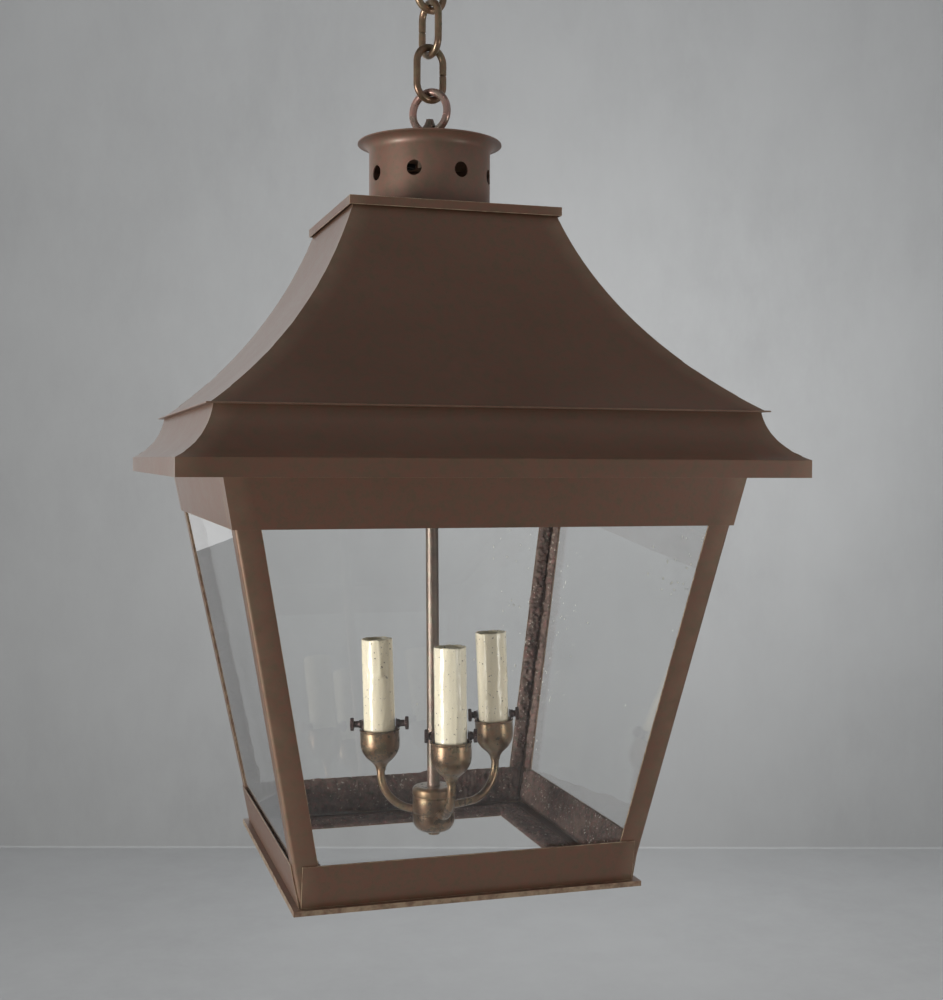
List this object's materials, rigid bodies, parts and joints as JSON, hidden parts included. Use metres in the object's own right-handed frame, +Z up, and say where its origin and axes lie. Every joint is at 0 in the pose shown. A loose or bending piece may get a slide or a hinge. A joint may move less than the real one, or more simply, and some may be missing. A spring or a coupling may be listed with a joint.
{
  "type": "hanging lantern",
  "caption": "Square hanging lantern with a flared glazed body, coved hood, concave roof, vented chimney and a candle-style light cluster, on a short chain.",
  "frame": {"origin": "hang point: inside of the top chain link's crown, on the lantern's axis", "axes": "+Z up along the chain, front pane faces -Y, +X to the right of the front pane"},
  "size_m": [0.4064, 0.4064, 0.6686],
  "materials": {
    "bronze_sheet": "dark bronze patina, satin, mottled",
    "chimney_bronze": "bronze patina, satin",
    "old_putty": "dirty dried putty",
    "clear_glass": "clear, thin",
    "chain_brass": "antique brass, worn",
    "ring_brass": "antique brass, rubbed",
    "stem_brass": "antique brass",
    "cluster_brass": "antique brass, polished by wear",
    "dark_brass": "dark brass",
    "socket_black": "moulded black",
    "candle_cream": "cream, glossy, dripped",
    "lead_insulation": "woven cover",
    "bushing_black": "moulded black"
  },
  "bodies": {
    "top_link": {"chain_link_3": "chain_brass"},
    "link_2": {"chain_link_2": "chain_brass"},
    "link_1": {"chain_link_1": "chain_brass"},
    "ring": {"hanging_ring": "ring_brass"},
    "lantern": {"base_plate": "bronze_sheet", "glazing_putty": "old_putty", "bottom_rail_front": "bronze_sheet", "bottom_rail_right": "bronze_sheet", "bottom_rail_back": "bronze_sheet", "bottom_rail_left": "bronze_sheet", "corner_post_1": "bronze_sheet", "corner_post_2": "bronze_sheet", "corner_post_3": "bronze_sheet", "corner_post_4": "bronze_sheet", "glass_front": "clear_glass", "glass_right": "clear_glass", "glass_back": "clear_glass", "glass_left": "clear_glass", "frieze_front": "bronze_sheet", "frieze_right": "bronze_sheet", "frieze_back": "bronze_sheet", "frieze_left": "bronze_sheet", "hood_panel_front": "bronze_sheet", "hood_panel_right": "bronze_sheet", "hood_panel_back": "bronze_sheet", "hood_panel_left": "bronze_sheet", "roof_panel_front": "bronze_sheet", "roof_panel_right": "bronze_sheet", "roof_panel_back": "bronze_sheet", "roof_panel_left": "bronze_sheet", "roof_cap": "bronze_sheet", "chimney": "chimney_bronze", "chimney_disc": "bronze_sheet", "wire_bushing": "bushing_black", "hanger_boss": "stem_brass", "stem": "stem_brass", "stem_nut": "stem_brass", "hub": "cluster_brass", "hub_knob": "cluster_brass", "arm_front": "cluster_brass", "arm_right": "cluster_brass", "arm_left": "cluster_brass", "candle_cup_front": "cluster_brass", "candle_cup_right": "cluster_brass", "candle_cup_left": "cluster_brass", "socket_straps": "dark_brass", "inner_leads": "lead_insulation", "lamp_socket_front": "socket_black", "lamp_socket_right": "socket_black", "lamp_socket_left": "socket_black", "candle_sleeve_front": "candle_cream", "candle_sleeve_right": "candle_cream", "candle_sleeve_left": "candle_cream"},
    "screw_1": {"thumbscrew_1": "dark_brass"},
    "screw_2": {"thumbscrew_2": "dark_brass"},
    "screw_3": {"thumbscrew_3": "dark_brass"},
    "screw_4": {"thumbscrew_4": "dark_brass"},
    "screw_5": {"thumbscrew_5": "dark_brass"},
    "screw_6": {"thumbscrew_6": "dark_brass"}
  },
  "joints": [
    {"name": "link_2_swing", "type": "hinge", "parent": "top_link", "child": "link_2", "pos_m": [0, 0, -0.03575], "axis": [0.9583, 0.2857, 0], "range_deg": [-45, 45]},
    {"name": "link_1_swing", "type": "hinge", "parent": "link_2", "child": "link_1", "pos_m": [0, 0, -0.06865], "axis": [0.2857, -0.9583, 0], "range_deg": [-45, 45]},
    {"name": "ring_swing", "type": "hinge", "parent": "link_1", "child": "ring", "pos_m": [0, 0, -0.10155], "axis": [0.9583, 0.2857, 0], "range_deg": [-45, 45]},
    {"name": "lantern_swing", "type": "hinge", "parent": "ring", "child": "lantern", "pos_m": [0, 0, -0.1254], "axis": [0.6833, -0.7302, 0], "range_deg": [-45, 45]},
    {"name": "screw_1_turn", "type": "hinge", "parent": "lantern", "child": "screw_1", "pos_m": [-0.00788, -0.04182, -0.56667], "axis": [-0.9562, 0.2923, -0.0171], "continuous": true},
    {"name": "screw_2_turn", "type": "hinge", "parent": "lantern", "child": "screw_2", "pos_m": [0.01793, -0.04971, -0.56621], "axis": [0.9562, -0.2923, 0.0171], "continuous": true},
    {"name": "screw_3_turn", "type": "hinge", "parent": "lantern", "child": "screw_3", "pos_m": [0.04755, 0.03019, -0.56672], "axis": [-0.9554, 0.2921, -0.0433], "continuous": true},
    {"name": "screw_4_turn", "type": "hinge", "parent": "lantern", "child": "screw_4", "pos_m": [0.07335, 0.02231, -0.56555], "axis": [0.9554, -0.2921, 0.0433], "continuous": true},
    {"name": "screw_5_turn", "type": "hinge", "parent": "lantern", "child": "screw_5", "pos_m": [-0.04595, 0.02037, -0.56744], "axis": [-0.9558, 0.2922, -0.0328], "continuous": true},
    {"name": "screw_6_turn", "type": "hinge", "parent": "lantern", "child": "screw_6", "pos_m": [-0.02015, 0.01248, -0.56656], "axis": [0.9558, -0.2922, 0.0328], "continuous": true}
  ]
}
